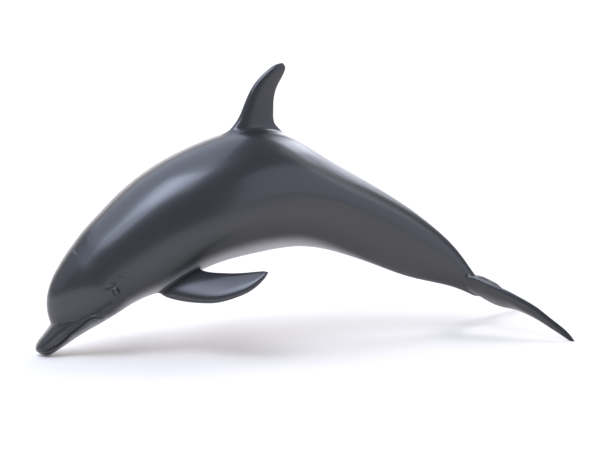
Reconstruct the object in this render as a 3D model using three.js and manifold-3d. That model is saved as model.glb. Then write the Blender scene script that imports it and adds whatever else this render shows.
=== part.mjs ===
// Moulded toy figure of a bottlenose dolphin: arched body, beak tip and both fluke tips on the floor.
// Millimetres, +Z up, head toward -X, tail toward +X, the dolphin's left side toward -Y.
import * as THREE from 'three';
import Module from 'manifold-3d';

const wasm = await Module();
wasm.setup();

// ---------------------------------------------------------------- driving dimensions
const BODY_LENGTH = 182;
const TAIL_ROUNDING = 4;
const BEAK_TIP_X = -88.7;
const BEAK_TIP_Z = 1.75;
const MELON_FRONT = 8.6;
const MELON_FULL = 30;
const BEAK_BLEND = 1.4;
const BEAK_ROUNDING = 2.8;
const BEAK_SQUARENESS = 2.3;
const BEAK_FADE_START = 44;
const BEAK_FADE_END = 60;
const BEAK_BLEND_START = 0.05;
const BEAK_BLEND_RUN = 6;
const FLANK_BLEND = 0.5;
const GAPE = 24;
const CUT = 0.3;
const EYE_RADIUS = 1.1;
const EYE_STATION = 32.2;
const EYE_ANGLE = 11;
const EYE_DEPTH = 0.5;
const DORSAL_ROOT = [-14.1, 0, 70.9];
const FLIPPER_ROOT = [-42.4, -10.5, 25.5];
const FLIPPER_ALONG = [0.816, -0.54, 0.206];
const FLIPPER_ACROSS = [0.176, 0.571, 0.802];
const FLUKE_ROOT = [53.1, 0, 23.3];
const FLUKE_PITCH = 36;
const LEADING_FULLNESS = 0.35;
const FIN_TIP_CROWDING = 1.35;
const RING_POINTS = 36;
const FIN_POINTS = 20;
const FIN_RINGS = 13;
const EYE_RINGS = 8;
const EYE_POINTS = 14;
const CUTTER_REACH = 30;
const FLOOR_SLAB_LENGTH = 200;
const FLOOR_SLAB_WIDTH = 80;
const FLOOR_SLAB_DEPTH = 5;

// Body ribs: distance along the spine, slope of the spine (degrees, nose-up positive),
// height above the spine, depth below it, half width.
const BODY_RIBS = [
  [0, 34.4, 21.6, 5.4, 8.4],
  [12, 35.0, 19.6, 4.6, 10.2],
  [25, 38.8, 18.9, 5.5, 12.8],
  [38, 40.2, 21.3, 8.2, 15.0],
  [45, 40.5, 21.9, 11.4, 16.2],
  [52, 40.1, 22.4, 13.2, 17.2],
  [66, 31.7, 22.5, 16.1, 18.6],
  [80, 19.5, 22.0, 18.7, 18.6],
  [95, 2.4, 20.9, 19.2, 17.2],
  [110, -15.6, 13.6, 17.8, 14.4],
  [125, -28.7, 10.9, 15.4, 11.2],
  [140, -29.7, 9.9, 12.9, 8.2],
  [153, -31.0, 8.0, 11.1, 5.8],
  [164, -35.6, 5.6, 7.9, 4.0],
  [173, -40.5, 3.0, 4.7, 2.9],
  [184, -40.0, 1.2, 2.0, 2.0],
];

// Beak ribs: distance along the spine, height above it, depth below it, half width.
const BEAK_RIBS = [
  [0, 1.4, 3.7, 3.0],
  [6, 3.1, 4.0, 4.6],
  [14, 5.4, 4.0, 7.2],
  [24, 7.0, 4.7, 11.2],
  [34, 6.0, 6.4, 12.6],
  [44, 4.0, 8.0, 12.0],
];

// Height of the mouth line above the spine, and of the crease between beak and melon.
const MOUTH_LINE = [[-4, -0.2], [2, -0.8], [7, -1.5], [11, -0.8], [16, 0.0], [20, 0.2], [24, -1.8]];
const MELON_CREASE = [[9.2, 22], [10.2, 5.9], [12, 5.0], [15, 3.6], [20, 2.2], [24, 1.4]];

// Fin ribs: leading edge (along, across, rise), trailing edge (along, across, rise), thickness.
const DORSAL_RIBS = [
  [-4, -12.0, 0, -6.5, 12.5, 0, 5.2],
  [0.2, -9.7, 0, -0.8, 9.6, 0, 4.6],
  [3.6, -7.0, 0, 2.8, 6.4, 0, 4.1],
  [7.0, -5.1, 0, 7.0, 5.9, 0, 3.7],
  [12.0, -3.0, 0, 11.3, 6.1, 0, 3.2],
  [16.6, -0.3, 0, 15.2, 7.2, 0, 2.8],
  [20.0, 3.1, 0, 18.3, 8.9, 0, 2.4],
  [22.2, 6.1, 0, 21.0, 10.0, 0, 1.9],
  [23.1, 8.4, 0, 22.6, 9.7, 0, 1.2],
];
const FLIPPER_RIBS = [
  [-9.5, -0.5, -3, 2.5, 6.2, -3, 5.0],
  [-7.2, -4.2, -0.6, 6.2, 2.9, -0.6, 4.6],
  [-3.6, -6.6, 0, 9.0, 1.1, 0, 4.2],
  [1.5, -8.5, 0, 12.5, 0.1, 0, 3.8],
  [7.0, -9.9, 0, 16.0, -0.6, 0, 3.4],
  [13.0, -10.7, 0, 19.5, -1.2, 0, 3.0],
  [19.4, -10.0, 0, 23.5, -1.6, 0, 2.6],
  [25.0, -8.2, 0, 26.8, -1.8, 0, 2.1],
  [28.9, -5.3, 0, 29.2, -2.0, 0, 1.6],
  [31.0, -2.9, 0, 30.8, -2.3, 0, 0.9],
];
const FLUKE_RIBS = [
  [2.0, 0.15, -1.35, 14.2, 0.15, -1.45, 3.6],
  [6.2, 2.6, -0.6, 17.0, 2.5, -2.3, 3.6],
  [8.8, 5.4, 1.0, 20.0, 5.2, -2.3, 3.5],
  [12.6, 8.8, 1.65, 22.6, 8.2, -1.35, 3.4],
  [17.0, 12.2, 2.7, 25.2, 11.5, 0.15, 3.2],
  [21.7, 15.6, 3.35, 28.2, 15.0, 1.05, 3.0],
  [26.8, 18.8, 3.8, 31.8, 18.6, 1.55, 2.7],
  [32.3, 21.8, 3.45, 36.0, 22.0, 1.65, 2.3],
  [37.8, 24.6, 3.1, 39.8, 24.9, 1.7, 1.9],
  [43.1, 27.1, 2.0, 43.0, 27.2, 1.6, 1.5],
];

// ---------------------------------------------------------------- small maths
const radians = (degrees) => degrees * Math.PI / 180;
const clamp01 = (value) => Math.min(1, Math.max(0, value));
const vector = (x, y, z) => new THREE.Vector3(x, y, z);

// Natural cubic spline through (x, y) pairs, returned as a function of x.
function spline(xs, ys) {
  const n = xs.length;
  const bend = new Array(n).fill(0);
  const carry = new Array(n).fill(0);
  for (let i = 1; i < n - 1; i++) {
    const before = xs[i] - xs[i - 1];
    const after = xs[i + 1] - xs[i];
    const turn = (ys[i + 1] - ys[i]) / after - (ys[i] - ys[i - 1]) / before;
    const pivot = 2 * (before + after) + before * bend[i - 1];
    bend[i] = -after / pivot;
    carry[i] = (6 * turn - before * carry[i - 1]) / pivot;
  }
  const second = new Array(n).fill(0);
  for (let i = n - 2; i > 0; i--) {
    second[i] = bend[i] * second[i + 1] + carry[i];
  }
  return (x) => {
    let i = 0;
    while (i < n - 2 && x > xs[i + 1]) {
      i++;
    }
    const h = xs[i + 1] - xs[i];
    const a = (xs[i + 1] - x) / h;
    const b = (x - xs[i]) / h;
    const curve = (a ** 3 - a) * second[i] + (b ** 3 - b) * second[i + 1];
    return a * ys[i] + b * ys[i + 1] + curve * h * h / 6;
  };
}

const column = (rows, k) => rows.map((row) => row[k]);
const ribSpline = (rows, k) => spline(column(rows, 0), column(rows, k));
const straight = (rows, x) => {
  let i = 0;
  while (i < rows.length - 2 && x > rows[i + 1][0]) {
    i++;
  }
  const part = (x - rows[i][0]) / (rows[i + 1][0] - rows[i][0]);
  return rows[i][1] + part * (rows[i + 1][1] - rows[i][1]);
};

// ---------------------------------------------------------------- spine and body surface
const slope = ribSpline(BODY_RIBS, 1);
const body = { top: ribSpline(BODY_RIBS, 2), bottom: ribSpline(BODY_RIBS, 3), side: ribSpline(BODY_RIBS, 4) };
const beak = { top: ribSpline(BEAK_RIBS, 1), bottom: ribSpline(BEAK_RIBS, 2), side: ribSpline(BEAK_RIBS, 3) };

// The spine is walked from the beak tip in short straight steps along its slope.
function spineAt(station) {
  const steps = Math.max(1, Math.ceil(Math.abs(station) / 0.5));
  const step = station / steps;
  let x = BEAK_TIP_X;
  let z = BEAK_TIP_Z;
  for (let i = 0; i < steps; i++) {
    const angle = radians(slope(Math.max(0, (i + 0.5) * step)));
    x += step * Math.cos(angle);
    z += step * Math.sin(angle);
  }
  return { x, z, angle: radians(slope(Math.max(0, station))) };
}

// A point off the spine: y sideways, q square to the spine in the middle plane.
function offSpine(station, y, q) {
  const { x, z, angle } = spineAt(station);
  return vector(x - q * Math.sin(angle), y, z + q * Math.cos(angle));
}

// Radius of an egg-shaped section in one direction; its high upper half and its shallow lower
// half change into one another across the flank.
function eggRadius(sideways, upward, side, top, bottom, power) {
  const share = clamp01(0.5 + upward / FLANK_BLEND);
  const height = bottom + (top - bottom) * share * share * (3 - 2 * share);
  const sum = Math.abs(sideways / side) ** power + Math.abs(upward / height) ** power;
  return sum ** (-1 / power);
}

const roundNose = (x) => Math.sqrt(Math.max(1e-6, 1 - clamp01(x) ** 2));

// Radius of the body at a station and an angle up from the left side; the melon and the beak
// are two egg sections joined by a short blend that leaves a crease between them.
function bodyRadius(station, angle) {
  const sideways = Math.cos(angle);
  const upward = Math.sin(angle);
  const nose = roundNose((MELON_FULL - station) / (MELON_FULL - MELON_FRONT));
  const tail = roundNose((station - BODY_LENGTH + TAIL_ROUNDING) / TAIL_ROUNDING);
  const size = nose * tail;
  const side = body.side(station) * size;
  const melon = station < MELON_FRONT ? 0
    : eggRadius(sideways, upward, side, body.top(station) * size, body.bottom(station) * size, 2);
  const along = Math.min(station, BEAK_FADE_START);
  const tip = roundNose((BEAK_ROUNDING - station) / BEAK_ROUNDING);
  const fade = clamp01((BEAK_FADE_END - station) / (BEAK_FADE_END - BEAK_FADE_START));
  const snout = fade * eggRadius(sideways, upward, beak.side(along) * tip,
    beak.top(along) * tip, beak.bottom(along) * tip, BEAK_SQUARENESS);
  const blend = BEAK_BLEND * Math.min(1, Math.max(BEAK_BLEND_START, station / BEAK_BLEND_RUN));
  const share = clamp01(1 - Math.abs(melon - snout) / blend);
  return Math.max(melon, snout) + share * share * blend / 4;
}

function bodyPoint(station, angle, grow = 0) {
  const radius = bodyRadius(station, angle) + grow;
  return offSpine(station, -radius * Math.cos(angle), radius * Math.sin(angle));
}

// ---------------------------------------------------------------- closed solids from rings
// Rings of equal count are joined in order; a ring of one point closes that end, any other
// end is closed by a fan round its middle.
function solidFromRings(rings) {
  const points = [];
  const starts = [];
  for (const ring of rings) {
    starts.push(points.length);
    points.push(...ring);
  }
  const faces = [];
  const count = Math.max(...rings.map((ring) => ring.length));
  const at = (i, j) => starts[i] + (rings[i].length === 1 ? 0 : j % count);
  for (let i = 0; i < rings.length - 1; i++) {
    for (let j = 0; j < count; j++) {
      if (rings[i].length > 1) {
        faces.push([at(i, j), at(i, j + 1), at(i + 1, j)]);
      }
      if (rings[i + 1].length > 1) {
        faces.push([at(i, j + 1), at(i + 1, j + 1), at(i + 1, j)]);
      }
    }
  }
  for (const end of [0, rings.length - 1]) {
    const ring = rings[end];
    if (ring.length > 1) {
      const middle = ring.reduce((sum, point) => sum.add(point), vector(0, 0, 0)).divideScalar(count);
      const hub = points.push(middle) - 1;
      for (let j = 0; j < count; j++) {
        faces.push(end === 0 ? [hub, at(0, j + 1), at(0, j)] : [hub, at(end, j), at(end, j + 1)]);
      }
    }
  }
  return toSolid(points, faces);
}

function toSolid(points, faces) {
  const volume = faces.reduce((sum, [a, b, c]) => {
    const cross = vector(0, 0, 0).crossVectors(points[b], points[c]);
    return sum + points[a].dot(cross);
  }, 0);
  const outward = volume > 0 ? faces : faces.map(([a, b, c]) => [a, c, b]);
  return new wasm.Manifold(new wasm.Mesh({
    numProp: 3,
    vertProperties: new Float32Array(points.flatMap((p) => [p.x, p.y, p.z])),
    triVerts: new Uint32Array(outward.flat()),
  }));
}

// ---------------------------------------------------------------- body pieces
function bodyRing(station, grow) {
  const ring = [];
  for (let j = 0; j < RING_POINTS; j++) {
    ring.push(bodyPoint(station, 2 * Math.PI * (j + 0.5) / RING_POINTS, grow));
  }
  return ring;
}

function bodySolid(stations, grow = 0) {
  return solidFromRings(stations.map((station) => {
    const pole = station <= 0 || station >= BODY_LENGTH;
    return pole ? [offSpine(station, 0, 0)] : bodyRing(station, grow);
  }));
}

const HEAD_STATIONS = [0, 0.35, 1.2, 2.6, 4.6, 7, 8.7, 9.3, 10.2, 11.6, 13.6, 16.4, 19.6, 23, 27, 31, 34.5];
const CHEST_STATIONS = [42, 46, 50, 54, 58];
const TRUNK_STATIONS = [66, 70, 74, 78, 82, 86, 90, 94, 98, 102];
const LOIN_STATIONS = [109, 113, 117, 121, 126, 131, 136];
const STOCK_STATIONS = [144, 148, 152, 156, 160, 164, 168, 172, 175.5, 178.3, 180, 181.2, 181.8, 182];
const NECK_CUT = 38;
const CHEST_CUT = 62;
const LOIN_CUT = 105;
const STOCK_CUT = 140;

const before = (cut) => cut - CUT / 2;
const after = (cut) => cut + CUT / 2;

// Block that follows the spine, from one height function down or up to another.
function spineBlock(stations, lower, upper) {
  return solidFromRings(stations.map((station) => [
    offSpine(station, -CUTTER_REACH, lower(station)),
    offSpine(station, CUTTER_REACH, lower(station)),
    offSpine(station, CUTTER_REACH, upper(station)),
    offSpine(station, -CUTTER_REACH, upper(station)),
  ]));
}

function belowMouth(grow) {
  const stations = [-4, 0, 2, 4.5, 7, 9, 11, 13.5, 16, 18, 20, 22, GAPE + grow];
  return spineBlock(stations, () => -CUTTER_REACH, (s) => straight(MOUTH_LINE, s) + grow);
}

function belowCrease(grow) {
  const start = MELON_CREASE[0][0];
  const stations = [-4, 0, 5, start + grow, MELON_CREASE[1][0] + grow, 12, 15, 20, GAPE + grow];
  const height = (station) => straight(MELON_CREASE, Math.max(start, station - grow)) + grow;
  return spineBlock(stations, () => -CUTTER_REACH, height);
}

function eyeBall(radius) {
  const centre = bodyPoint(EYE_STATION, radians(EYE_ANGLE), -EYE_DEPTH);
  const rings = [[centre.clone().add(vector(0, -radius, 0))]];
  for (let i = 1; i < EYE_RINGS; i++) {
    const polar = Math.PI * i / EYE_RINGS;
    const ring = [];
    for (let j = 0; j < EYE_POINTS; j++) {
      const turn = 2 * Math.PI * j / EYE_POINTS;
      ring.push(centre.clone().add(vector(
        radius * Math.sin(polar) * Math.cos(turn),
        -radius * Math.cos(polar),
        radius * Math.sin(polar) * Math.sin(turn),
      )));
    }
    rings.push(ring);
  }
  rings.push([centre.clone().add(vector(0, radius, 0))]);
  return solidFromRings(rings);
}

const mirrored = (solid) => solid.mirror([0, 1, 0]);

// Small worn flats where the figure stands: whatever reaches below the floor is cut off.
function standing(solid) {
  const x = FLOOR_SLAB_LENGTH / 2;
  const y = FLOOR_SLAB_WIDTH / 2;
  const slab = [-FLOOR_SLAB_DEPTH, 0].map((z) => [
    vector(-x, -y, z),
    vector(x, -y, z),
    vector(x, y, z),
    vector(-x, y, z),
  ]);
  return solid.subtract(solidFromRings(slab));
}

function headPieces() {
  let front = bodySolid([...HEAD_STATIONS, before(NECK_CUT)]);
  const socket = eyeBall(EYE_RADIUS + CUT / 2);
  front = front.subtract(socket).subtract(mirrored(socket));
  const lower = standing(front.intersect(belowMouth(-CUT / 2)));
  const upper = front.subtract(belowMouth(CUT / 2));
  return {
    jaw_lower: lower,
    beak_upper: upper.intersect(belowCrease(-CUT / 2)),
    head: upper.subtract(belowCrease(CUT / 2)),
  };
}

function trunkPieces() {
  return {
    chest: bodySolid([after(NECK_CUT), ...CHEST_STATIONS, before(CHEST_CUT)]),
    trunk: bodySolid([after(CHEST_CUT), ...TRUNK_STATIONS, before(LOIN_CUT)]),
    loins: bodySolid([after(LOIN_CUT), ...LOIN_STATIONS, before(STOCK_CUT)]),
    tail_stock: bodySolid([after(STOCK_CUT), ...STOCK_STATIONS]),
  };
}

// ---------------------------------------------------------------- fins
// The greatest value of sin(t) * (1 + LEADING_FULLNESS * cos(t)), so that ribs keep their thickness.
const SWELL_PEAK = 1.06;

// A blade through a list of ribs: round leading edge, thinner trailing edge, rounded tip.
function blade(frame, ribs) {
  const numbers = ribs.map((_, i) => i);
  const curves = ribs[0].map((_, k) => spline(numbers, column(ribs, k)));
  const last = ribs.length - 1;
  const rings = [];
  for (let i = 0; i < FIN_RINGS; i++) {
    const u = last * (1 - (1 - i / (FIN_RINGS - 1)) ** FIN_TIP_CROWDING);
    const v = curves.map((curve) => curve(u));
    const size = Math.sqrt(Math.max(0, 1 - clamp01(u - last + 1) ** 2));
    const ring = [];
    for (let j = 0; j < FIN_POINTS; j++) {
      const turn = 2 * Math.PI * j / FIN_POINTS;
      const chord = 0.5 - 0.5 * Math.cos(turn) * size;
      const swell = Math.sin(turn) * (1 + LEADING_FULLNESS * Math.cos(turn)) / SWELL_PEAK;
      const mix = (k) => v[k] * (1 - chord) + v[k + 3] * chord;
      const rise = mix(2) + v[6] / 2 * swell * size;
      ring.push(frame.origin.clone()
        .addScaledVector(frame.along, mix(0))
        .addScaledVector(frame.across, mix(1))
        .addScaledVector(frame.rise, rise));
    }
    rings.push(i === FIN_RINGS - 1 ? [ring[0]] : ring);
  }
  return solidFromRings(rings);
}

function dorsalBlade() {
  return blade({
    origin: vector(...DORSAL_ROOT),
    along: vector(0, 0, 1),
    across: vector(1, 0, 0),
    rise: vector(0, 1, 0),
  }, DORSAL_RIBS);
}

function flipperBlade() {
  const along = vector(...FLIPPER_ALONG).normalize();
  const across = vector(...FLIPPER_ACROSS);
  across.addScaledVector(along, -across.dot(along)).normalize();
  const rise = vector(0, 0, 0).crossVectors(along, across);
  return blade({ origin: vector(...FLIPPER_ROOT), along, across, rise }, FLIPPER_RIBS);
}

function flukeBlade() {
  const pitch = radians(FLUKE_PITCH);
  return blade({
    origin: vector(...FLUKE_ROOT),
    along: vector(Math.cos(pitch), 0, -Math.sin(pitch)),
    across: vector(0, -1, 0),
    rise: vector(Math.sin(pitch), 0, Math.cos(pitch)),
  }, FLUKE_RIBS);
}

// Every fin is trimmed to stand just clear of the body.
function finPieces() {
  const stations = [...HEAD_STATIONS, NECK_CUT, ...CHEST_STATIONS, CHEST_CUT, ...TRUNK_STATIONS,
    LOIN_CUT, ...LOIN_STATIONS, STOCK_CUT, ...STOCK_STATIONS];
  const clearance = bodySolid(stations, CUT);
  const flipper = flipperBlade().subtract(clearance);
  const fluke = standing(flukeBlade().subtract(clearance));
  return {
    dorsal_fin: dorsalBlade().subtract(clearance),
    flipper_left: flipper,
    flipper_right: mirrored(flipper),
    fluke_left: fluke,
    fluke_right: mirrored(fluke),
  };
}

// ---------------------------------------------------------------- assembly
const SKIN = new THREE.MeshStandardMaterial({ color: 0x5a5c62, roughness: 0.35, metalness: 0 });
const EYE = new THREE.MeshStandardMaterial({ color: 0x0c0c0e, roughness: 0.1, metalness: 0 });

function toMesh(name, solid, material) {
  const data = solid.getMesh();
  const geometry = new THREE.BufferGeometry();
  const count = data.vertProperties.length / data.numProp;
  const positions = new Float32Array(count * 3);
  for (let i = 0; i < count; i++) {
    for (let k = 0; k < 3; k++) {
      positions[3 * i + k] = data.vertProperties[i * data.numProp + k];
    }
  }
  geometry.setAttribute('position', new THREE.BufferAttribute(positions, 3));
  geometry.setIndex(Array.from(data.triVerts));
  const mesh = new THREE.Mesh(geometry, material);
  mesh.name = name;
  return mesh;
}

const eye = eyeBall(EYE_RADIUS);
const skinPieces = { ...headPieces(), ...trunkPieces(), ...finPieces() };
const group = new THREE.Group();
for (const [name, solid] of Object.entries(skinPieces)) {
  group.add(toMesh(name, solid, SKIN));
}
group.add(toMesh('eye_left', eye, EYE));
group.add(toMesh('eye_right', mirrored(eye), EYE));

export default group;
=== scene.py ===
import math

import bpy
import numpy as np
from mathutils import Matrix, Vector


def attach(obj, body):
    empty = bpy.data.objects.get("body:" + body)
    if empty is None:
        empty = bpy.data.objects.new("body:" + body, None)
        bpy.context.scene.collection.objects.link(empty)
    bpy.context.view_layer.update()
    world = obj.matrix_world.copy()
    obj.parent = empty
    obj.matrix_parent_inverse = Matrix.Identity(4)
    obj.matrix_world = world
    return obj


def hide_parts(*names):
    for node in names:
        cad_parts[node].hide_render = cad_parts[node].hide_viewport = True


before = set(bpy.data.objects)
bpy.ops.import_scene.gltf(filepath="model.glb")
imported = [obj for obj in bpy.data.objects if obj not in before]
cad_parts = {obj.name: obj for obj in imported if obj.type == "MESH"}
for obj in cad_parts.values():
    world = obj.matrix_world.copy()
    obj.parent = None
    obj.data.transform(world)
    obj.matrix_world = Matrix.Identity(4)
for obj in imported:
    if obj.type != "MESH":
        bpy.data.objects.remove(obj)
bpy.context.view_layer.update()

# ---------------------------------------------------------------- sizes, in millimetres and degrees
MM = 0.001
BODY_LENGTH = 182.0
TAIL_ROUNDING = 4.0
BEAK_TIP_X = -88.7
BEAK_TIP_Z = 1.75
MELON_FRONT = 8.6
MELON_FULL = 30.0
BEAK_ROUNDING = 2.8
MELON_SQUARENESS = 2.0
BEAK_SQUARENESS = 2.3
BEAK_FADE_START = 44.0
BEAK_FADE_END = 60.0
BEAK_BLEND = 1.4
BEAK_BLEND_START = 0.05
BEAK_BLEND_RUN = 6.0
FLANK_BLEND = 0.5

# Body ribs: station on the spine, slope of the spine, height above, depth below, half width.
BODY_RIBS = np.array([
    [0, 34.4, 21.6, 5.4, 8.4],
    [12, 35.0, 19.6, 4.6, 10.2],
    [25, 38.8, 18.9, 5.5, 12.8],
    [38, 40.2, 21.3, 8.2, 15.0],
    [45, 40.5, 21.9, 11.4, 16.2],
    [52, 40.1, 22.4, 13.2, 17.2],
    [66, 31.7, 22.5, 16.1, 18.6],
    [80, 19.5, 22.0, 18.7, 18.6],
    [95, 2.4, 20.9, 19.2, 17.2],
    [110, -15.6, 13.6, 17.8, 14.4],
    [125, -28.7, 10.9, 15.4, 11.2],
    [140, -29.7, 9.9, 12.9, 8.2],
    [153, -31.0, 8.0, 11.1, 5.8],
    [164, -35.6, 5.6, 7.9, 4.0],
    [173, -40.5, 3.0, 4.7, 2.9],
    [184, -40.0, 1.2, 2.0, 2.0],
])

# Beak ribs: station, height above the spine, depth below, half width.
BEAK_RIBS = np.array([
    [0, 1.4, 3.7, 3.0],
    [6, 3.1, 4.0, 4.6],
    [14, 5.4, 4.0, 7.2],
    [24, 7.0, 4.7, 11.2],
    [34, 6.0, 6.4, 12.6],
    [44, 4.0, 8.0, 12.0],
])

# Fin ribs: leading edge (along, across, rise), trailing edge (along, across, rise), thickness.
DORSAL_RIBS = np.array([
    [-4, -12.0, 0, -6.5, 12.5, 0, 5.2],
    [0.2, -9.7, 0, -0.8, 9.6, 0, 4.6],
    [3.6, -7.0, 0, 2.8, 6.4, 0, 4.1],
    [7.0, -5.1, 0, 7.0, 5.9, 0, 3.7],
    [12.0, -3.0, 0, 11.3, 6.1, 0, 3.2],
    [16.6, -0.3, 0, 15.2, 7.2, 0, 2.8],
    [20.0, 3.1, 0, 18.3, 8.9, 0, 2.4],
    [22.2, 6.1, 0, 21.0, 10.0, 0, 1.9],
    [23.1, 8.4, 0, 22.6, 9.7, 0, 1.2],
])
FLIPPER_RIBS = np.array([
    [-9.5, -0.5, -3, 2.5, 6.2, -3, 5.0],
    [-7.2, -4.2, -0.6, 6.2, 2.9, -0.6, 4.6],
    [-3.6, -6.6, 0, 9.0, 1.1, 0, 4.2],
    [1.5, -8.5, 0, 12.5, 0.1, 0, 3.8],
    [7.0, -9.9, 0, 16.0, -0.6, 0, 3.4],
    [13.0, -10.7, 0, 19.5, -1.2, 0, 3.0],
    [19.4, -10.0, 0, 23.5, -1.6, 0, 2.6],
    [25.0, -8.2, 0, 26.8, -1.8, 0, 2.1],
    [28.9, -5.3, 0, 29.2, -2.0, 0, 1.6],
    [31.0, -2.9, 0, 30.8, -2.3, 0, 0.9],
])
FLUKE_RIBS = np.array([
    [2.0, 0.15, -1.35, 14.2, 0.15, -1.45, 3.6],
    [6.2, 2.6, -0.6, 17.0, 2.5, -2.3, 3.6],
    [8.8, 5.4, 1.0, 20.0, 5.2, -2.3, 3.5],
    [12.6, 8.8, 1.65, 22.6, 8.2, -1.35, 3.4],
    [17.0, 12.2, 2.7, 25.2, 11.5, 0.15, 3.2],
    [21.7, 15.6, 3.35, 28.2, 15.0, 1.05, 3.0],
    [26.8, 18.8, 3.8, 31.8, 18.6, 1.55, 2.7],
    [32.3, 21.8, 3.45, 36.0, 22.0, 1.65, 2.3],
    [37.8, 24.6, 3.1, 39.8, 24.9, 1.7, 1.9],
    [43.1, 27.1, 2.0, 43.0, 27.2, 1.6, 1.5],
])
LEADING_FULLNESS = 0.35
SWELL_PEAK = 1.06
FIN_TIP_CROWDING = 1.6
FLUKE_TURN = math.radians(36.0)

# Where each fin starts, the way it points and the way its section runs from leading to trailing edge.
DORSAL_ROOT = (-14.1, 0, 70.9)
FLIPPER_ROOT = (-42.4, -10.5, 25.5)
FLIPPER_ALONG = (0.816, -0.54, 0.206)
FLIPPER_ACROSS = (0.176, 0.571, 0.802)
FLUKE_ROOT = (53.1, 0, 23.3)

# Lines on the skin: station on the spine, degrees up from the side.
MOUTH = np.array([[0.0, 8], [0.5, 2], [2.5, -15], [5, -18.5], [7, -18], [10.75, -8], [13.5, -3],
                  [16, 0], [18.5, 2], [21, 0], [24, -10], [26, -14]])
GUIDE_TAIL = np.array([[32, -12], [45, -6], [70, 0], [190, 0]])
CREASE = np.array([[9.2, 76], [10.2, 58], [12, 42], [15, 25], [17.7, 13.5], [20.5, 8.0], [23, 5.5],
                   [27, 6.0], [29.6, 2.8], [31.8, -1.0], [33.2, -4.4], [36, -10]])
# Edge of the pale belly colour, degrees up from the side: the species' own pale belly, set higher on the
# throat and cheek as a painted reflection of the bright floor.
BELLY_AND_REFLECTION_EDGE = np.array([[0, -70], [8, -34], [12, -18], [19, -9], [27, -17], [34, -15], [45, -26], [75, -44],
                       [106, -58], [130, -76], [150, -95]])
BELLY_AND_REFLECTION_SOFTNESS = 90.0

# Mouth: where it ends, and its slit and two lips as distance above the line, bell half width and height.
MOUTH_END = 24.8
MOUTH_FADE = 1.2
LIPS = np.array([
    [0.0, 0.25, -0.5],
    [0.7, 0.38, 0.2],
    [-0.7, 0.35, 0.08],
])
LIP_LEAST_RADIUS = 2.0

# Lower jaw: it stands back by this much at the beak tip, over this length and below this step.
JAW_SET_BACK = 0.8
JAW_RUN = 2.2
JAW_STEP = 0.25
JAW_LEAST_RADIUS = 1.2

# Crease between melon and beak: depth at stations, then the widths of its two sides and its fine groove.
CREASE_DEPTH = np.array([[9.8, 0.5], [12, 0.85], [15, 1.25], [19, 0.95], [23, 0.6], [28, 0.35]])
CREASE_START = 9.8
CREASE_START_FADE = 3.5
CREASE_END = 36.0
CREASE_END_FADE = 5.0
CREASE_FLAT = 0.15
CREASE_UPPER_SIDE = 2.2
CREASE_LEAST_SHOULDER = 1.6
GROOVE_START = 20.0
GROOVE_FADE = 4.0
GROOVE_DEPTH = 0.4
GROOVE_WIDTH = 0.35

# Short folds: both ends as station and angle, bell half width, height (negative is a groove).
FOLDS = np.array([
    [32.6, 25.0, 35.9, 14.6, 0.32, -0.20],
    [33.5, 26.5, 36.9, 15.5, 0.32, 0.14],
    [31.0, 20.5, 34.4, 19.0, 0.28, -0.18],
    [30.2, 3.5, 32.6, 1.5, 0.28, -0.18],
    [33.9, 1.5, 36.4, -3.0, 0.28, -0.16],
    [34.4, 5.0, 36.9, 2.5, 0.28, -0.12],
    [23.6, -10.0, 24.4, -24.0, 0.30, -0.20],
    [37.3, 72.0, 38.5, 84.0, 0.25, -0.06],
])
HEAD_RADIUS = 14.0
FOLD_FADE = 0.5

# Blowhole: place, half width, how far its ends bow back, and its groove and two rims as on the lips.
BLOWHOLE_STATION = 31.0
BLOWHOLE_ANGLE = math.radians(81.5)
BLOWHOLE_HALF = 1.9
BLOWHOLE_BOW = 0.9
BLOWHOLE_FADE = 0.6
BLOWHOLE_LINES = np.array([
    [-0.5, 0.35, 0.08],
    [0.0, 0.24, -0.26],
    [0.5, 0.35, 0.05],
])

# Eye: ball, opening between the lids, loops as shares of that opening (from, to, how many), where they turn
# into circles, and the rise of the lids and the trough behind them as on the lips.
EYE_RADIUS = 1.1
EYE_STATION = 32.2
EYE_ANGLE = math.radians(11.0)
EYE_DEPTH = 0.5
EYE_OPEN_LONG = 1.04
EYE_OPEN_HIGH = 0.86
EYE_LEAN = math.radians(-20.0)
EYE_PATCH = 3.1
EYE_REACHES = [(2.6, 1.5, 8), (1.4, 1.0, 9), (0.96, 0.8, 4), (0.5, 0.5, 1)]
ROUND_LOOP_SHARE = 0.85
ROUND_LOOP_START = 1.4
ROUND_LOOP_RUN = 1.2
EYELID = np.array([
    [1.25, 0.3, 0.32],
    [1.8, 0.28, -0.26],
])
LID_HUG_START = 1.6
LID_HUG_RUN = 0.3
LID_GAP = 0.05
SOCKET_GAP = 0.1
SOCKET_SLOPE = 1.5
EYE_BALL_RINGS = 24
EYE_BALL_POINTS = 48

# Mesh fineness: ring spacing at stations along the body, and the counts of rings and points.
RING_SPACING = np.array([[2.8, 0.22], [8.0, 0.25], [8.7, 0.07], [9.4, 0.10], [11, 0.2], [14, 0.28],
                         [36, 0.3], [42, 0.8], [60, 1.1], [150, 1.2], [160, 0.6], [178, 0.5]])
SPACING_STEP = 0.01
RING_POINTS = 180
RING_GATHER = 0.72
GATHER_END = 60.0
GATHER_RUN = 40.0
TIP_RINGS = 16
TAIL_RINGS = 12
FIN_FLAT_RINGS = 6
FIN_FILLET_RINGS = 8
FIN_BLADE_RINGS = 44
FIN_TRIAL_POINTS = 96
LAST_HOLE_RING = BODY_LENGTH - 0.35


# ---------------------------------------------------------------- small maths
def smooth(value):
    """Zero below 0, one above 1, and three times the square less twice the cube between."""
    t = np.clip(value, 0.0, 1.0)
    return t * t * (3.0 - 2.0 * t)


def hump(distance, width):
    """One at the middle of a line, falling off on both sides as a bell of that half width."""
    return np.exp(-(distance / width) ** 2)


def lines(distance, rows):
    """Sum of bells, each with its own place, half width and height across one line."""
    total = 0.0
    for place, width, height in rows:
        total = total + height * hump(distance - place, width)
    return total


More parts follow.
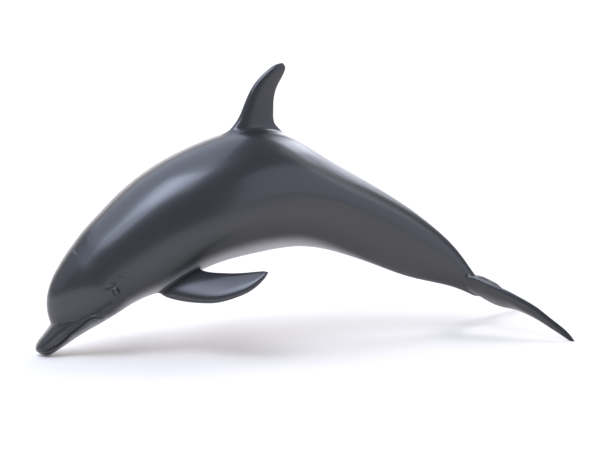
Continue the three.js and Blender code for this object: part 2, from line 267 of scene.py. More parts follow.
def table(rows, value):
    """Straight pieces between the rows of a two-column table."""
    return np.interp(value, rows[:, 0], rows[:, 1])


def natural_spline(xs, ys):
    """Cubic pieces through the points whose second derivatives solve the usual three-band system."""
    xs = np.asarray(xs, float)
    ys = np.asarray(ys, float)
    step = np.diff(xs)
    count = len(xs)
    inner = np.arange(1, count - 1)
    bands = np.eye(count)
    bands[inner, inner - 1] = step[:-1]
    bands[inner, inner] = 2.0 * (step[:-1] + step[1:])
    bands[inner, inner + 1] = step[1:]
    turn = np.zeros(count)
    turn[1:-1] = 6.0 * np.diff(np.diff(ys) / step)
    second = np.linalg.solve(bands, turn)

    def value(x):
        x = np.asarray(x, float)
        i = np.clip(np.searchsorted(xs, x) - 1, 0, count - 2)
        h = step[i]
        a = (xs[i + 1] - x) / h
        b = (x - xs[i]) / h
        curve = (a ** 3 - a) * second[i] + (b ** 3 - b) * second[i + 1]
        return a * ys[i] + b * ys[i + 1] + curve * h * h / 6.0

    return value


def column_splines(ribs, columns):
    """One spline along the ribs' stations for each of the columns."""
    return [natural_spline(ribs[:, 0], ribs[:, k]) for k in columns]


def unit(v):
    """The vector divided by its length."""
    v = np.asarray(v, float)
    return v / np.linalg.norm(v)


# ---------------------------------------------------------------- spine
slope, body_top, body_bottom, body_side = column_splines(BODY_RIBS, (1, 2, 3, 4))
beak_top, beak_bottom, beak_side = column_splines(BEAK_RIBS, (1, 2, 3))
mouth_angle = natural_spline(MOUTH[:, 0], MOUTH[:, 1])
crease_angle = natural_spline(CREASE[:, 0], CREASE[:, 1])

LAST_RIB = BODY_RIBS[-1, 0]
WALK_STEP = 0.1
WALK_PAST_END = 8.0
WALK = np.arange(0.0, BODY_LENGTH + WALK_PAST_END, WALK_STEP)
WALK_SLOPE = np.radians(slope(np.minimum(WALK[:-1] + WALK_STEP / 2, LAST_RIB)))
WALK_X = BEAK_TIP_X + np.r_[0.0, np.cumsum(np.cos(WALK_SLOPE) * WALK_STEP)]
WALK_Z = BEAK_TIP_Z + np.r_[0.0, np.cumsum(np.sin(WALK_SLOPE) * WALK_STEP)]
SLIDES = 60
SLIDE_SHARE = 0.6
SLIDE_PAST_END = 7.0


def spine(station):
    """Place and slope of the spine, walked from the beak tip in short straight steps."""
    angle = np.radians(slope(np.clip(station, 0.0, LAST_RIB)))
    return np.interp(station, WALK, WALK_X), np.interp(station, WALK, WALK_Z), angle


def locate(points):
    """Station, angle and distance from the spine, by sliding along the spine until square to each point."""
    station = np.interp(points[..., 0], WALK_X, WALK)
    for _ in range(SLIDES):
        x, z, tilt = spine(station)
        ahead = (points[..., 0] - x) * np.cos(tilt) + (points[..., 2] - z) * np.sin(tilt)
        station = np.clip(station + SLIDE_SHARE * ahead, 0.0, BODY_LENGTH + SLIDE_PAST_END)
    x, z, tilt = spine(station)
    up = (points[..., 2] - z) * np.cos(tilt) - (points[..., 0] - x) * np.sin(tilt)
    return station, np.arctan2(up, -points[..., 1]), np.hypot(up, points[..., 1])


# ---------------------------------------------------------------- body surface
def round_end(x):
    """Quarter circle: one where x is 0, falling to almost nothing where x is 1."""
    return np.sqrt(np.maximum(1e-6, 1.0 - np.clip(x, 0.0, 1.0) ** 2))


def egg(sideways, upward, side, top, bottom, power):
    """Radius of an egg: the powers of the two parts over the half sizes add up to one."""
    height = bottom + (top - bottom) * smooth(0.5 + upward / FLANK_BLEND)
    return (np.abs(sideways / side) ** power + np.abs(upward / height) ** power) ** (-1.0 / power)


def melon_radius(station, sideways, upward):
    """The body's egg, drawn in by quarter circles at the melon's front and at the tail's end."""
    size = (round_end((MELON_FULL - station) / (MELON_FULL - MELON_FRONT))
            * round_end((station - BODY_LENGTH + TAIL_ROUNDING) / TAIL_ROUNDING))
    held = np.clip(station, 0.0, LAST_RIB)
    side, top, bottom = [half(held) * size for half in (body_side, body_top, body_bottom)]
    return np.where(station < MELON_FRONT, 0.0, egg(sideways, upward, side, top, bottom, MELON_SQUARENESS))


def snout_radius(station, sideways, upward):
    """The beak's squarer egg, drawn in at its tip and faded out inside the head."""
    along = np.clip(station, 0.0, BEAK_FADE_START)
    tip = round_end((BEAK_ROUNDING - station) / BEAK_ROUNDING)
    fade = np.clip((BEAK_FADE_END - station) / (BEAK_FADE_END - BEAK_FADE_START), 0.0, 1.0)
    side, top, bottom = [half(along) * tip for half in (beak_side, beak_top, beak_bottom)]
    return fade * egg(sideways, upward, side, top, bottom, BEAK_SQUARENESS)


def plain_radius(station, angle):
    """The larger of the melon egg and the beak egg, with a short blend that leaves a crease."""
    sideways = np.cos(angle)
    upward = np.sin(angle)
    melon = melon_radius(station, sideways, upward)
    snout = snout_radius(station, sideways, upward)
    blend = BEAK_BLEND * np.clip(station / BEAK_BLEND_RUN, BEAK_BLEND_START, 1.0)
    share = np.clip(1.0 - np.abs(melon - snout) / blend, 0.0, 1.0)
    return np.maximum(melon, snout) + share * share * blend / 4.0


# ---------------------------------------------------------------- moulded details on the body
def side_angle(angle):
    """Degrees up from the nearer side: 90 on the back, -90 on the belly, the same left and right."""
    return np.degrees(np.arcsin(np.clip(np.sin(angle), -1.0, 1.0)))


def line_distance(station, angle, radius, line):
    """Millimetres up the skin from a line given as an angle at each station."""
    return radius * np.radians(side_angle(angle) - line(station))


def mouth_relief(station, radius, gap):
    """The slit with a lip on each side, and the lower jaw's tip set back below it."""
    open_mouth = smooth((MOUTH_END - station) / MOUTH_FADE) * smooth(radius / LIP_LEAST_RADIUS)
    below = smooth(-gap / JAW_STEP) * hump(station, JAW_RUN) * smooth(radius / JAW_LEAST_RADIUS)
    return open_mouth * lines(gap, LIPS) - JAW_SET_BACK * below


def crease_relief(station, gap, fold):
    """A V between melon and beak: a short curved side above, and below it a flat one to the mouth line."""
    here = (smooth((station - CREASE_START) / CREASE_START_FADE)
            * smooth((CREASE_END - station) / CREASE_END_FADE))
    shoulder = np.maximum(gap - fold, CREASE_LEAST_SHOULDER)
    above = (1.0 - np.clip((fold - CREASE_FLAT) / CREASE_UPPER_SIDE, 0.0, 1.0)) ** 2
    below = 1.0 - np.clip((-fold - CREASE_FLAT) / shoulder, 0.0, 1.0)
    valley = table(CREASE_DEPTH, station) * np.where(fold > 0.0, above, below)
    groove = GROOVE_DEPTH * smooth((station - GROOVE_START) / GROOVE_FADE) * hump(fold, GROOVE_WIDTH)
    return -here * (valley + groove)


def fold_relief(station, angle, radius, fold):
    """A bell across the straight line between two places on the skin, faded over its last millimetre."""
    s0, a0, s1, a1, width, height = fold
    run = np.array([s1 - s0, np.radians(a1 - a0) * HEAD_RADIUS])
    length = np.hypot(*run)
    run /= length
    x = station - s0
    y = radius * np.radians(side_angle(angle) - a0)
    along = x * run[0] + y * run[1]
    across = y * run[0] - x * run[1]
    return height * hump(across, width) * smooth(along + FOLD_FADE) * smooth(length - along + FOLD_FADE)


def blowhole_relief(station, angle, radius):
    """A short groove with two rims, bowed back at both ends by the square of the distance sideways."""
    side = radius * (angle - BLOWHOLE_ANGLE)
    bow = station - BLOWHOLE_STATION - BLOWHOLE_BOW * (side / BLOWHOLE_HALF) ** 2
    here = smooth((BLOWHOLE_HALF - np.abs(side)) / BLOWHOLE_FADE + 0.5)
    return here * lines(bow, BLOWHOLE_LINES)


def relief(station, angle, radius):
    """Height of the moulded details over the plain body."""
    gap = line_distance(station, angle, radius, mouth_angle)
    fold = line_distance(station, angle, radius, crease_angle)
    total = mouth_relief(station, radius, gap) + crease_relief(station, gap, fold)
    for row in FOLDS:
        total = total + fold_relief(station, angle, radius, row)
    return total + blowhole_relief(station, angle, radius)


def body_points(station, angle, sink=0.0):
    """Spine point plus radius times ring direction; the angle runs from the left side over the back."""
    plain = plain_radius(station, angle)
    radius = plain + relief(station, angle, plain) - sink
    x, z, tilt = spine(station)
    up = radius * np.sin(angle)
    return np.stack([x - up * np.sin(tilt), -radius * np.cos(angle), z + up * np.cos(tilt)], -1)


def belly_and_painted_reflection_tone(station, angle):
    """Pale on the throat and belly, its own pale belly plus a painted reflection of the bright floor: a soft
    edge at an angle that changes along the body.
    """
    return np.clip((table(BELLY_AND_REFLECTION_EDGE, station) - side_angle(angle)) / BELLY_AND_REFLECTION_SOFTNESS + 0.5, 0.0, 1.0)


# ---------------------------------------------------------------- fin blades
def make_fin(ribs, root, along, across, facing, paired, margin, fillet):
    """Splines and directions of a fin; its fillet has a size at the sides, the front and the back edge."""
    along = unit(along)
    across = np.asarray(across, float)
    across = unit(across - along * np.dot(across, along))
    return {
        "curves": [natural_spline(np.arange(len(ribs)), ribs[:, k]) for k in range(7)],
        "last": len(ribs) - 1,
        "root": np.asarray(root, float),
        "along": along,
        "across": across,
        "rise": np.cross(along, across) * facing,
        "paired": paired,
        "margin": margin,
        "fillet": fillet,
    }


def blade_points(fin, u, turn):
    """Rib splines at u, then a section that runs from the leading edge round the far side and back."""
    v = [curve(u) for curve in fin["curves"]]
    size = np.sqrt(np.maximum(0.0, 1.0 - np.clip(u - fin["last"] + 1.0, 0.0, 1.0) ** 2))
    chord = 0.5 - 0.5 * np.cos(turn) * size
    swell = np.sin(turn) * (1.0 + LEADING_FULLNESS * np.cos(turn)) / SWELL_PEAK
    mix = [v[k] * (1.0 - chord) + v[k + 3] * chord for k in range(3)]
    rise = mix[2] + v[6] / 2.0 * swell * size
    return (fin["root"] + mix[0][..., None] * fin["along"] + mix[1][..., None] * fin["across"]
            + rise[..., None] * fin["rise"])


def fillet_size(fin, turn):
    """The side size, going over to the front or back size by the cube of the cosine of the turn."""
    side, front, back = fin["fillet"]
    edge = np.where(np.cos(turn) > 0, front, back)
    return side + (edge - side) * np.abs(np.cos(turn)) ** 3


CROSSING_SAMPLES = 160
CROSSING_HALVINGS = 30
CROSSING_SHORT_OF_TIP = 0.6
PACE_STEP = 0.02


def crossing(fin, turn):
    """Where each line of the blade leaves the body: halve between the last sample inside and the next."""
    samples = np.linspace(0.0, fin["last"] - CROSSING_SHORT_OF_TIP, CROSSING_SAMPLES)
    u, t = np.meshgrid(samples, turn, indexing="ij")

    def outside(u, t):
        station, angle, distance = locate(blade_points(fin, u, t))
        return distance - plain_radius(station, angle)

    inside = outside(u, t) < 0
    last = len(samples) - 1 - np.argmax(inside[::-1], axis=0)
    last = np.minimum(last, len(samples) - 2)
    low = samples[last]
    high = samples[last + 1]
    for _ in range(CROSSING_HALVINGS):
        middle = (low + high) / 2
        within = outside(middle, turn) < 0
        low = np.where(within, middle, low)
        high = np.where(within, high, middle)
    return (low + high) / 2


def outward(flat):
    """Unit vectors square to a closed line on the flattened skin, pointing away from its middle."""
    run = np.roll(flat, -1, 0) - np.roll(flat, 1, 0)
    run = np.roll(run, 1, 0) + 2 * run + np.roll(run, -1, 0)
    away = np.stack([-run[:, 1], run[:, 0]], -1)
    away /= np.linalg.norm(away, axis=1, keepdims=True)
    return away * np.sign(np.sum(away * (flat - flat.mean(0)), axis=1).sum())


def root_loops(fin, turn):
    """The crossing line, the blade's free start a fillet further, and the loop a fillet out on the skin."""
    u_cross = crossing(fin, turn)
    cross = blade_points(fin, u_cross, turn)
    station, angle, distance = locate(cross)
    scale = distance.mean()
    flat = np.stack([station, angle * scale], -1)
    size = fillet_size(fin, turn)
    spread = flat + outward(flat) * size[:, None]
    pace = np.linalg.norm(blade_points(fin, u_cross + PACE_STEP, turn) - cross, axis=1) / PACE_STEP
    return cross, u_cross + size / pace, spread[:, 0], spread[:, 1] / scale


# ---------------------------------------------------------------- mesh of closed loops
class Shell:
    """Vertices and faces gathered loop by loop; each vertex carries a belly tone, the pale belly colour
    together with its painted floor reflection.
    """

    def __init__(self):
        self.points = []
        self.tones = []
        self.faces = []
        self.count = 0

    def add(self, points, tone):
        """Append points with their tone, and give their numbers."""
        points = points.reshape(-1, 3)
        self.points.append(points)
        self.tones.append(np.broadcast_to(tone, (len(points),)).astype(float))
        self.count += len(points)
        return np.arange(self.count - len(points), self.count)

    def strips(self, loops, flip=False):
        """Quads between each closed loop and the next, all loops of one length."""
        a = loops[:-1]
        b = loops[1:]
        quads = np.stack([a, b, np.roll(b, -1, 1), np.roll(a, -1, 1)], -1).reshape(-1, 4)
        self.faces.append(quads[:, ::-1] if flip else quads)

    def fan(self, loop, pole, flip=False):
        """Triangles from each edge of a closed loop to one point."""
        tris = np.stack([loop, np.full_like(loop, pole), np.roll(loop, -1)], -1)
        self.faces.append(tris[:, ::-1] if flip else tris)


def mesh_object(name, shell, material):
    """One closed mesh in metres, with unused points dropped and the tone as a point attribute."""
    points = np.concatenate(shell.points)
    tones = np.concatenate(shell.tones)
    used = np.zeros(len(points), bool)
    for faces in shell.faces:
        used[faces.ravel()] = True
    number = np.cumsum(used) - 1
    points = points[used]
    points[:, 2] = np.maximum(points[:, 2], 0.0)
    sizes = np.concatenate([np.full(len(f), f.shape[1]) for f in shell.faces])
    corners = np.concatenate([number[f].ravel() for f in shell.faces])
    mesh = bpy.data.meshes.new(name)
    mesh.vertices.add(len(points))
    mesh.vertices.foreach_set("co", (points * MM).ravel())
    mesh.loops.add(len(corners))
    mesh.loops.foreach_set("vertex_index", corners.astype(np.int32))
    mesh.polygons.add(len(sizes))
    mesh.polygons.foreach_set("loop_start", np.r_[0, np.cumsum(sizes)[:-1]].astype(np.int32))
    mesh.update(calc_edges=True)
    mesh.validate()
    mesh.polygons.foreach_set("use_smooth", np.ones(len(mesh.polygons), bool))
    # Belly tone: the pale belly colour, which also stands in as a painted reflection of the bright floor.
    layer = mesh.attributes.new("belly", "FLOAT", "POINT")
    layer.data.foreach_set("value", tones[used].astype(np.float32))
    mesh.materials.append(material)
    made = bpy.data.objects.new(name, mesh)
    bpy.context.scene.collection.objects.link(made)
    return made


# ---------------------------------------------------------------- rings of the body
def ring_stations():
    """Quarter-circle spacing over both rounded ends, and the spacing table between them."""
    turn = np.linspace(0.0, math.pi / 2, TIP_RINGS + 1)[1:-1]
    tip = BEAK_ROUNDING * (1.0 - np.cos(turn))
    fine = np.arange(BEAK_ROUNDING, BODY_LENGTH - TAIL_ROUNDING, SPACING_STEP)
    density = 1.0 / table(RING_SPACING, fine)
    total = np.r_[0.0, np.cumsum(density[:-1] * SPACING_STEP)]
    middle = np.interp(np.linspace(0.0, total[-1], int(total[-1])), total, fine)
    turn = np.linspace(0.0, math.pi / 2, TAIL_RINGS + 1)[1:-1]
    tail = BODY_LENGTH - TAIL_ROUNDING + TAIL_ROUNDING * np.sin(turn)
    return np.r_[tip, middle, tail]


def ring_angles(stations):
    """Two arcs per ring, over the back and under the belly, with points gathered at the mouth line."""
    t = np.arange(RING_POINTS // 2) / (RING_POINTS // 2)
    gather = RING_GATHER * smooth((GATHER_END - stations) / GATHER_RUN)[:, None]
    eased = t - gather * np.sin(2.0 * math.pi * t) / (2.0 * math.pi)
    line = np.r_[MOUTH, GUIDE_TAIL]
    guide = np.radians(natural_spline(line[:, 0], line[:, 1])(stations))[:, None]
    upper = guide + (math.pi - 2.0 * guide) * eased
    lower = math.pi - guide + (math.pi + 2.0 * guide) * eased
    return np.concatenate([upper, lower], 1)


def shortest_turn(angle):
    """The same angle between minus and plus half a turn."""
    return (angle + math.pi) % (2 * math.pi) - math.pi


class BodyGrid:
    """The body's rings as a grid of quads, in which rectangular holes are cut and patches are welded."""

    def __init__(self, shell):
        self.shell = shell
        self.stations = ring_stations()
        self.angles = ring_angles(self.stations)
        ring_station = np.broadcast_to(self.stations[:, None], self.angles.shape)
        points = body_points(ring_station, self.angles)
        tones = belly_and_painted_reflection_tone(ring_station, self.angles).ravel()
        self.index = shell.add(points, tones).reshape(self.angles.shape)
        self.open_quads = np.ones((len(self.stations) - 1, RING_POINTS), bool)

    def ring(self, station):
        """Number of the nearest ring."""
        return int(np.argmin(np.abs(self.stations - station)))

    def point(self, station, angle):
        """Number of the nearest point on the nearest ring."""
        return int(np.argmin(np.abs(shortest_turn(self.angles[self.ring(station)] - angle))))

    def hole(self, front, back, middle, low, high):
        """Cut range between two stations and two angles, with an even number of quads round the ring."""
        i0 = self.ring(front)
        i1 = self.ring(back)
        j0 = self.point(middle, low)
        j1 = self.point(middle, high)
        if j0 > j1:
            j0 -= RING_POINTS
        return i0, i1, j0, j1 + (j1 - j0) % 2

    def cut(self, hole, paired):
        """Drop the hole's quads, and those of the mirrored hole where there is a pair."""
        i0, i1, j0, j1 = hole
        self.open_quads[i0:i1, np.arange(j0, j1) % RING_POINTS] = False
        if paired:
            self.open_quads[i0:i1, np.arange(RING_POINTS // 2 - j1, RING_POINTS // 2 - j0)] = False

    def weld(self, rim, loops, pole, tones, paired):
        """Join the hole's rim to the loops, and where there is a pair its mirror to the mirrored loops."""
        rings, places = rim
        for flip in (False, True)[:1 + paired]:
            columns = (RING_POINTS // 2 - places) % RING_POINTS if flip else places % RING_POINTS
            rows = [self.index[rings, columns]]
            mirror = np.array([1.0, -1.0 if flip else 1.0, 1.0])
            for loop, tone in zip(loops, tones):
                rows.append(self.shell.add(loop * mirror, tone))
            self.shell.strips(np.stack(rows), flip)
            self.shell.fan(rows[-1], self.shell.add(pole * mirror, 0.0)[0], flip)

    def close(self):
        """Keep the open quads and close both ends of the body with fans to the spine."""
        i, j = np.nonzero(self.open_quads)
        after = (j + 1) % RING_POINTS
        quads = [self.index[i, j], self.index[i + 1, j], self.index[i + 1, after], self.index[i, after]]
        self.shell.faces.append(np.stack(quads, -1))
        for station, ring, flip in ((0.0, self.index[0], True), (BODY_LENGTH, self.index[-1], False)):
            x, z, _ = spine(station)
            pole = self.shell.add(np.array([[x, 0.0, z]]), 0.0)[0]
            self.shell.fan(ring, pole, flip)


def rim_loop(hole):
    """Rings and points round a cut rectangle, from the middle of its front edge, rising first."""
    i0, i1, j0, j1 = hole
    jm = (j0 + j1) // 2
    i = np.r_[np.full(j1 - jm, i0), np.arange(i0, i1), np.full(j1 - j0, i1), np.arange(i1, i0, -1),
              np.full(jm - j0, i0)]
    j = np.r_[np.arange(jm, j1), np.full(i1 - i0, j1), np.arange(j1, j0, -1), np.full(i1 - i0, j0),
              np.arange(j0, jm)]
    return i, j


# ---------------------------------------------------------------- fins and eyes in the skin
def fin_hole(grid, fin):
    """The cut range that leaves a margin round the fin's fillet."""
    turn = np.linspace(0.0, 2 * math.pi, FIN_TRIAL_POINTS, endpoint=False)
    _, _, station, angle = root_loops(fin, turn)
    margin = fin["margin"]
    back = min(station.max() + margin, LAST_HOLE_RING)
    middle = float(np.median(station))
    reach = margin / float(plain_radius(middle, angle.mean()))
    return grid.hole(station.min() - margin, back, middle, angle.min() - reach, angle.max() + reach)


def fin_loops(grid, fin, rim):
    """Loops from the rim over the skin to the fillet, up its curve by the crossing line, then to the tip."""
    rings, places = rim
    turn = 2 * math.pi * np.arange(len(rings)) / len(rings)
    cross, u_free, station, angle = root_loops(fin, turn)
    rim_station = grid.stations[rings]
    rim_angle = angle + shortest_turn(grid.angles[rings, places % RING_POINTS] - angle)
    loops = []
    tones = []
    for f in np.arange(1, FIN_FLAT_RINGS + 1) / FIN_FLAT_RINGS:
        s = rim_station + (station - rim_station) * f
        a = rim_angle + (angle - rim_angle) * f
        loops.append(body_points(s, a))
        tones.append(belly_and_painted_reflection_tone(s, a))
    start = loops[-1]
    tone = tones[-1]
    free = blade_points(fin, u_free, turn)
    for f in np.arange(1, FIN_FILLET_RINGS + 1) / FIN_FILLET_RINGS:
        loops.append(start * (1 - f) ** 2 + cross * 2 * f * (1 - f) + free * f * f)
        tones.append(tone * (1 - f))
    for w in np.arange(1, FIN_BLADE_RINGS) / FIN_BLADE_RINGS:
        f = 1 - (1 - w) ** FIN_TIP_CROWDING
        loops.append(blade_points(fin, u_free + (fin["last"] - u_free) * f, turn))
        tones.append(0.0)
    return loops, tones


def weld_fin(grid, fin):
    """Cut the fin's hole and weld its loops in, ending at the middle of its tip."""
    hole = fin_hole(grid, fin)
    rim = rim_loop(hole)
    loops, tones = fin_loops(grid, fin, rim)
    pole = blade_points(fin, np.array([float(fin["last"])]), np.array([0.0]))[0]
    grid.cut(hole, fin["paired"])
    grid.weld(rim, loops, pole, tones, fin["paired"])


def eye_loops(count):
    """Loops round the eye: out to in, the skin rises to a lid that hugs the ball, then dips behind it."""
    turn = 2 * math.pi * np.arange(count) / count
    reach = np.concatenate([np.linspace(*row) for row in EYE_REACHES])[:, None]
    x = -np.cos(turn) * EYE_OPEN_LONG
    y = np.sin(turn) * EYE_OPEN_HIGH
    round_out = smooth((reach - ROUND_LOOP_START) / ROUND_LOOP_RUN)
    x = reach * (x + (-np.cos(turn) * EYE_OPEN_LONG * ROUND_LOOP_SHARE - x) * round_out)
    y = reach * (y + (np.sin(turn) * EYE_OPEN_LONG * ROUND_LOOP_SHARE - y) * round_out)
    x, y = x * math.cos(EYE_LEAN) - y * math.sin(EYE_LEAN), x * math.sin(EYE_LEAN) + y * math.cos(EYE_LEAN)
    ball = np.sqrt(np.maximum(0.0, EYE_RADIUS ** 2 - x * x - y * y)) - EYE_DEPTH
    lid = lines(reach, EYELID)
    lid = np.maximum(lid, (ball + LID_GAP) * smooth((LID_HUG_START - reach) / LID_HUG_RUN))
    height = np.where(reach >= 1.0, lid, ball - SOCKET_GAP - SOCKET_SLOPE * (1.0 - reach))
    station = EYE_STATION + x
    angle = EYE_ANGLE + y / float(plain_radius(EYE_STATION, EYE_ANGLE))
    return station, angle, body_points(station, angle, -height)


def eye_centre():
    """Middle of the left eye, sunk below the skin."""
    return body_points(np.array([EYE_STATION]), np.array([EYE_ANGLE]), EYE_DEPTH)[0]


def weld_eyes(grid):
    """Cut a hole round each eye and weld its loops in, closed behind the ball."""
    spread = EYE_PATCH / float(plain_radius(EYE_STATION, EYE_ANGLE))
    hole = grid.hole(EYE_STATION - EYE_PATCH, EYE_STATION + EYE_PATCH, EYE_STATION,
                     EYE_ANGLE - spread, EYE_ANGLE + spread)
    rim = rim_loop(hole)
    station, angle, loops = eye_loops(len(rim[0]))
    grid.cut(hole, True)
    grid.weld(rim, list(loops), eye_centre(), belly_and_painted_reflection_tone(station, angle), True)


def build_skin(fins):
    """The whole skin as one closed shell: body rings with fins and eye sockets welded in."""
    shell = Shell()
    grid = BodyGrid(shell)
    for fin in fins:
        weld_fin(grid, fin)
    weld_eyes(grid)
    grid.close()
    return shell


# ---------------------------------------------------------------- materials
class Wire:
    """A shader socket whose sums, differences and products build Math nodes."""

    def __init__(self, graph, socket):
        self.graph = graph
        self.socket = socket

    def math(self, operation, *others):
        """A Math node with this socket and the others as its inputs."""
        return self.graph.node("ShaderNodeMath", {"operation": operation}, dict(enumerate((self, *others))))

    def __add__(self, other):
        return self.math("ADD", other)

    def __radd__(self, other):
        return self.math("ADD", other)

    def __mul__(self, other):
        return self.math("MULTIPLY", other)

    def __rmul__(self, other):
        return self.math("MULTIPLY", other)

    def __sub__(self, other):
        return self.math("SUBTRACT", other)

    def __rsub__(self, other):
        return self * -1.0 + other


class Graph:
    """A material with one Principled shader; node() makes any other node and gives one of its outputs."""

    def __init__(self, name, **uniform):
        self.material = bpy.data.materials.new(name)
        self.material.use_nodes = True
        self.tree = self.material.node_tree
        self.shader = self.tree.nodes["Principled BSDF"]
        for socket, value in uniform.items():
            self.shader.inputs[socket.replace("_", " ")].default_value = value

    def node(self, kind, settings=None, inputs=None, output=0):
        """A node of that kind, with its settings made first and then its sockets set or linked."""
        made = self.tree.nodes.new(kind)
        for name, value in (settings or {}).items():
            setattr(made, name, value)
        for name, value in (inputs or {}).items():
            self.join(value, made.inputs[name])
        return Wire(self, made.outputs[output])

    def join(self, value, socket):
        """Link a wire to the socket, or set a plain value on it."""
        if isinstance(value, Wire):
            self.tree.links.new(value.socket, socket)
        else:
            socket.default_value = value

    def set(self, name, value):
        """Feed one socket of the Principled shader."""
        self.join(value, self.shader.inputs[name])

    def ease(self, value, low, high):
        """Zero below low, one above high and a smooth step between."""
        return self.node("ShaderNodeMapRange", {"interpolation_type": "SMOOTHSTEP"},
                         {"Value": value, "From Min": low, "From Max": high})

    def blend_colours(self, factor, first, second):
        """Mix node for colours, whose colour sockets are its inputs 6 and 7 and its output 2."""
        return self.node("ShaderNodeMix", {"data_type": "RGBA"}, {0: factor, 6: first, 7: second}, 2)


BACK_COLOUR = (0.024, 0.0245, 0.0265, 1.0)
# Pale belly grey: the species' own pale belly, made lighter as a painted reflection of the bright floor.
BELLY_AND_REFLECTION_COLOUR = (0.38, 0.38, 0.39, 1.0)
EYE_COLOUR = (0.004, 0.004, 0.005, 1.0)
FLOOR_COLOUR = (0.86, 0.80, 0.72, 1.0)
SKIN_ROUGHNESS = 0.285
SKIN_COAT = 0.5
SKIN_COAT_ROUGHNESS = 0.15
CLOUD_SCALE = 60.0
CLOUD_DETAIL = 2.0
CLOUD_STRENGTH = 0.03
PALE_RANGE = (0.36, 0.64)
MATT_RANGE = (0.05, 0.40)
MATT_ROUGHER = 0.15
MATT_LESS_COAT = 0.4
PLAIN_COAT_ROUGHNESS = 0.05
EYE_ROUGHNESS = 0.08
FLOOR_ROUGHNESS = 0.9


def skin_material():
    """Glossy dark moulding, clouded a little, that turns paler and matter by the belly tone; the paler
    colour is the pale belly and a painted reflection of the bright floor.
    """
    graph = Graph("moulded_skin", Coat_Roughness=SKIN_COAT_ROUGHNESS)
    belly = graph.node("ShaderNodeAttribute", {"attribute_name": "belly"}, None, "Fac")
    place = graph.node("ShaderNodeTexCoord", None, None, "Object")
    cloud = graph.node("ShaderNodeTexNoise", None,
                       {"Vector": place, "Scale": CLOUD_SCALE, "Detail": CLOUD_DETAIL})
    # Paler towards the belly: the pale belly colour and a painted reflection of the bright floor.
    pale = graph.ease(belly, *PALE_RANGE)
    matt = graph.ease(belly, *MATT_RANGE)
    graph.set("Base Color", graph.blend_colours(pale, BACK_COLOUR, BELLY_AND_REFLECTION_COLOUR))
    graph.set("Roughness", SKIN_ROUGHNESS + cloud * CLOUD_STRENGTH + matt * MATT_ROUGHER)
    graph.set("Coat Weight", SKIN_COAT - matt * MATT_LESS_COAT)
    return graph.material


def plain_material(name, colour, roughness, coat=0.0):
    """One colour and one gloss all over."""
    graph = Graph(name, Base_Color=colour, Roughness=roughness, Coat_Weight=coat,
                  Coat_Roughness=PLAIN_COAT_ROUGHNESS)
    return graph.material


# ---------------------------------------------------------------- pieces
FINS = [
    make_fin(DORSAL_RIBS, DORSAL_ROOT, (0, 0, 1), (1, 0, 0), 1, False, 2.5, (1.6, 2.6, 1.4)),
    make_fin(FLIPPER_RIBS, FLIPPER_ROOT, FLIPPER_ALONG, FLIPPER_ACROSS, 1, True, 3.0, (1.1, 1.8, 1.4)),
    make_fin(FLUKE_RIBS, FLUKE_ROOT, (math.cos(FLUKE_TURN), 0, -math.sin(FLUKE_TURN)), (0, -1, 0), -1,
             True, 1.6, (0.8, 1.2, 0.5)),
]

skin = mesh_object("skin", build_skin(FINS), skin_material())
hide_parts("beak_upper", "jaw_lower", "head", "chest", "trunk", "loins", "tail_stock",
            "dorsal_fin", "flipper_left", "flipper_right", "fluke_left", "fluke_right")
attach(skin, "root")


def eye_ball(name, side):
    """Sphere of latitude rings round the sideways axis; side is 1 on the left and -1 on the right."""
    centre = eye_centre()
    polar = np.linspace(0.0, math.pi, EYE_BALL_RINGS + 2)[1:-1, None]
    turn = np.linspace(0.0, 2 * math.pi, EYE_BALL_POINTS, endpoint=False)[None, :]
    ball = np.stack(np.broadcast_arrays(np.sin(polar) * np.cos(turn), -np.cos(polar),
                                        np.sin(polar) * np.sin(turn)), -1)
    shell = Shell()
    loops = shell.add(centre + EYE_RADIUS * ball, 0.0).reshape(EYE_BALL_RINGS, EYE_BALL_POINTS)
    outer = shell.add(centre + [[0, -EYE_RADIUS, 0]], 0.0)[0]
    inner = shell.add(centre + [[0, EYE_RADIUS, 0]], 0.0)[0]
    shell.strips(loops, side < 0)
    shell.fan(loops[0], outer, side > 0)
    shell.fan(loops[-1], inner, side < 0)
    shell.points = [p * [1, side, 1] for p in shell.points]
    eye = mesh_object(name, shell, plain_material(name + "_gloss", EYE_COLOUR, EYE_ROUGHNESS, 1.0))
    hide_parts(name)
    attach(eye, "root")


eye_ball("eye_left", 1)
eye_ball("eye_right", -1)

# ---------------------------------------------------------------- floor, in metres
SWEEP_FRONT = -2.6
SWEEP_BACK = 1.6
SWEEP_RADIUS = 0.7
SWEEP_TOP = 2.2
SWEEP_HALF = 3.0
SWEEP_STEPS = 24


def studio_sweep():
    """A pale sheet: flat floor, a quarter circle up behind, then a wall, drawn out sideways."""
    turn = np.linspace(0.0, math.pi / 2, SWEEP_STEPS)
    y = np.r_[SWEEP_FRONT, SWEEP_BACK + SWEEP_RADIUS * np.sin(turn), SWEEP_BACK + SWEEP_RADIUS]
    z = np.r_[0.0, SWEEP_RADIUS * (1.0 - np.cos(turn)), SWEEP_TOP]
    x = np.array([-SWEEP_HALF, SWEEP_HALF])
    points = np.stack(np.broadcast_arrays(x[None, :], y[:, None], z[:, None]), -1).reshape(-1, 3)
    first = 2 * np.arange(len(y) - 1)
    quads = np.stack([first, first + 1, first + 3, first + 2], -1)
    mesh = bpy.data.meshes.new("studio_sweep")
    mesh.from_pydata(points.tolist(), [], quads.tolist())
    mesh.polygons.foreach_set("use_smooth", np.ones(len(quads), bool))
    mesh.materials.append(plain_material("pale_sheet", FLOOR_COLOUR, FLOOR_ROUGHNESS))
    sheet = bpy.data.objects.new("studio_sweep", mesh)
    bpy.context.scene.collection.objects.link(sheet)


studio_sweep()

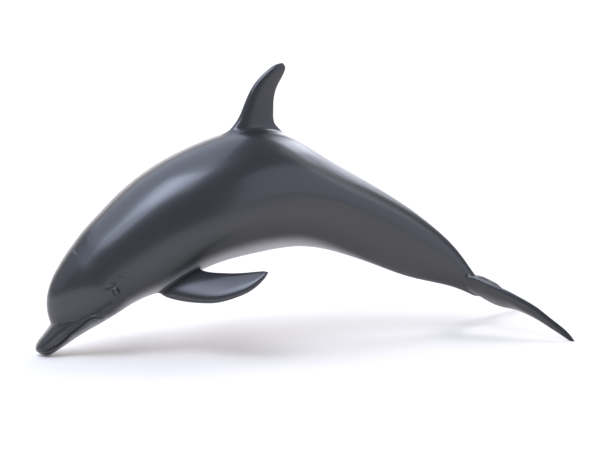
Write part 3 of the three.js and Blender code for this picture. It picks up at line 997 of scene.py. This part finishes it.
# ---------------------------------------------------------------- light, in metres and degrees
WORLD_COLOUR = (0.93, 0.96, 1.0, 1.0)
WORLD_STRENGTH = 0.25
COOL = (0.83, 0.87, 1.0)
BLUE = (0.70, 0.78, 1.0)
NEUTRAL = (0.95, 0.95, 1.0)
CEILING = 0.86
OVERLAP_GAP = 0.02

world = bpy.data.worlds.new("studio")
bpy.context.scene.world = world
world.use_nodes = True
world.node_tree.nodes["Background"].inputs["Color"].default_value = WORLD_COLOUR
world.node_tree.nodes["Background"].inputs["Strength"].default_value = WORLD_STRENGTH
bpy.context.scene.view_settings.view_transform = "Standard"


def panel(name, place, length, width, yaw, brightness, colour, pitch=0.0):
    """An evenly bright rectangle that shines down, tipped by pitch and then turned by yaw; power is
    brightness times pi times its area."""
    light = bpy.data.lights.new(name, "AREA")
    light.shape = "RECTANGLE"
    light.size = length
    light.size_y = width
    light.energy = brightness * math.pi * length * width
    light.color = colour
    made = bpy.data.objects.new(name, light)
    made.location = place
    made.rotation_euler = (math.radians(pitch), 0.0, math.radians(yaw))
    bpy.context.scene.collection.objects.link(made)


# Overhead panels that the head and the back mirror, over the head first and then over the tail.
panel("key_panel", (-0.83, -0.52, CEILING), 1.25, 0.5, 30, 4.6, BLUE)
panel("key_core", (-0.52, -0.34, CEILING - OVERLAP_GAP), 0.5, 0.2, 35, 3.3, BLUE)
panel("wide_panel", (-0.60, 0.22, CEILING + OVERLAP_GAP), 1.7, 1.2, 70, 1.9, BLUE)
panel("rear_panel", (0.80, 0.60, CEILING - OVERLAP_GAP), 1.05, 0.3, 62, 3.6, COOL)
panel("rear_wide_panel", (1.0, 0.72, CEILING), 1.4, 0.7, 58, 2.8, COOL)
panel("rear_side_panel", (1.3, -0.2, CEILING + 2 * OVERLAP_GAP), 1.6, 0.6, -20, 0.95, NEUTRAL)

# Standing cards that the tail, the flank and the melon mirror, and one light for the sheet behind.
panel("rear_low_panel", (0.65, 1.4, 0.45), 1.0, 0.7, -25, 1.8, COOL, -75)
panel("side_card", (1.1, -1.1, 0.66), 2.2, 1.3, 45, 1.08, BLUE, 80)
panel("sheet_panel", (0.0, 1.1, 1.0), 2.8, 0.8, 0, 5.5, COOL, 62)
panel("front_card", (-1.5, 0.3, 0.55), 1.3, 0.8, -100, 0.5, BLUE, 75)

# ---------------------------------------------------------------- camera
CAMERA_AZIMUTH = math.radians(-15.5)
CAMERA_ELEVATION = math.radians(10.466)
CAMERA_DISTANCE = 0.9
CAMERA_TARGET = np.array([0.0009, 0.0, 0.039208])
CAMERA_LENS = 162.0
CAMERA_SENSOR = 36.0

back = Vector((math.sin(CAMERA_AZIMUTH) * math.cos(CAMERA_ELEVATION),
                  -math.cos(CAMERA_AZIMUTH) * math.cos(CAMERA_ELEVATION), math.sin(CAMERA_ELEVATION)))
camera_data = bpy.data.cameras.new("camera")
camera_data.lens = CAMERA_LENS
camera_data.sensor_width = CAMERA_SENSOR
camera = bpy.data.objects.new("camera", camera_data)
camera.location = Vector(CAMERA_TARGET) + back * CAMERA_DISTANCE
camera.rotation_mode = "QUATERNION"
camera.rotation_quaternion = back.to_track_quat("Z", "Y")
bpy.context.scene.collection.objects.link(camera)
bpy.context.scene.camera = camera
